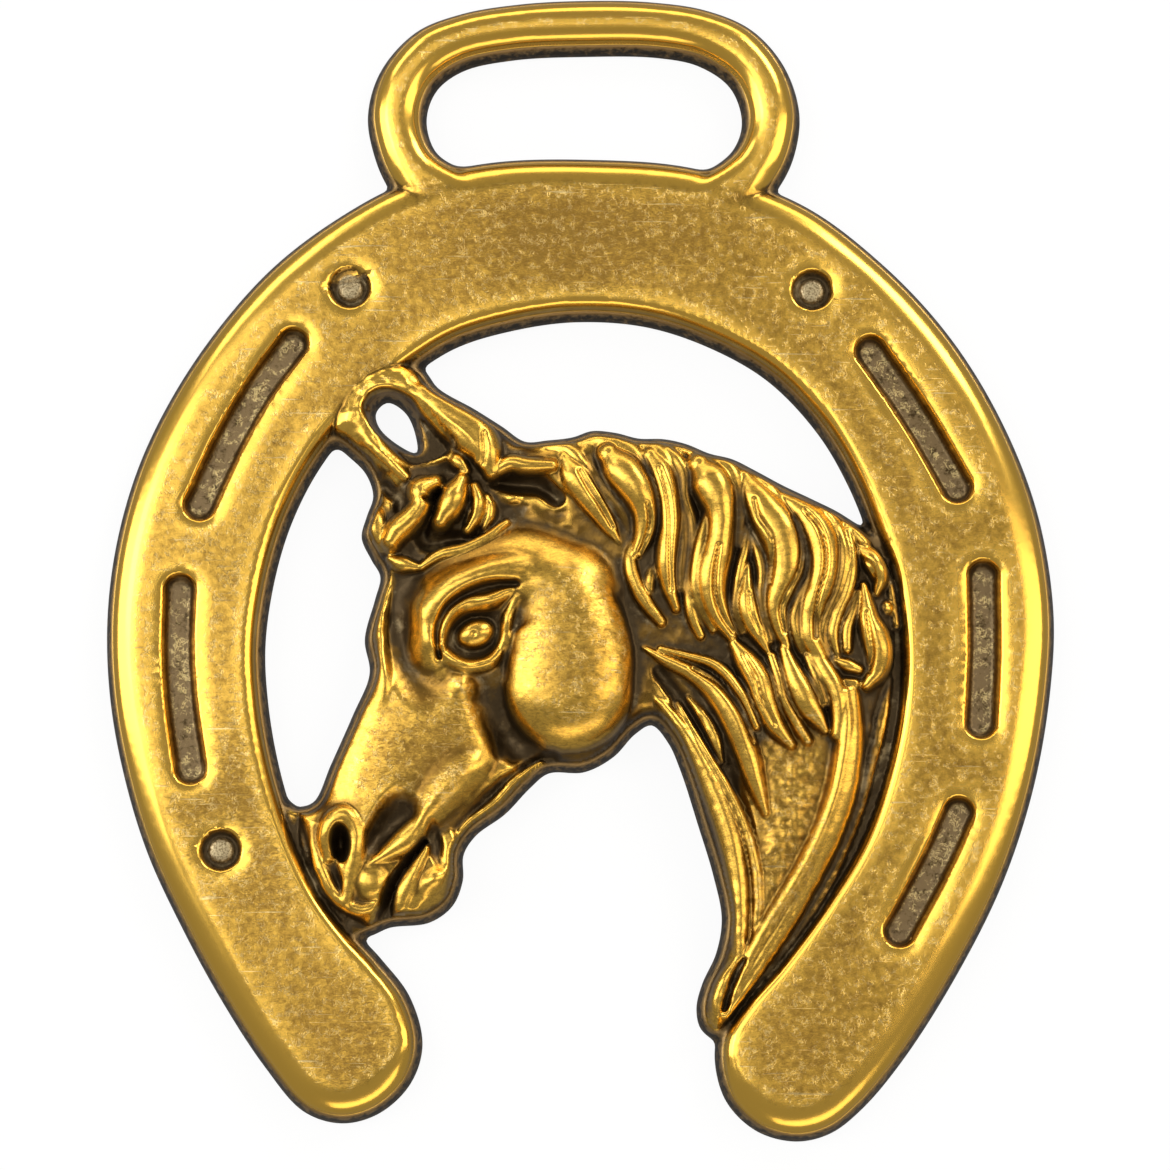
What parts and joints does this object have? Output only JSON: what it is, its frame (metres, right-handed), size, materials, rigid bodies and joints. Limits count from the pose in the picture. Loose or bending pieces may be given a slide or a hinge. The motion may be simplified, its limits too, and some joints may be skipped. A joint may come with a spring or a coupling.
{
  "type": "horse brass",
  "caption": "Flat cast harness ornament: a horse's head in relief inside a horseshoe, with a slotted hanger on top for a leather strap.",
  "frame": {"origin": "on the flat back, under the middle of the casting's box, with the casting lying on its back", "axes": "+X to the viewer's right, +Y along the casting towards the strap hanger, +Z out of the carved face"},
  "size_m": [0.0746, 0.0909, 0.0065],
  "materials": {
    "brass": "aged, rubbed bright on the high places, dark brown patina in the hollows"
  },
  "bodies": {
    "root": {"horse_brass": "brass"}
  },
  "joints": []
}
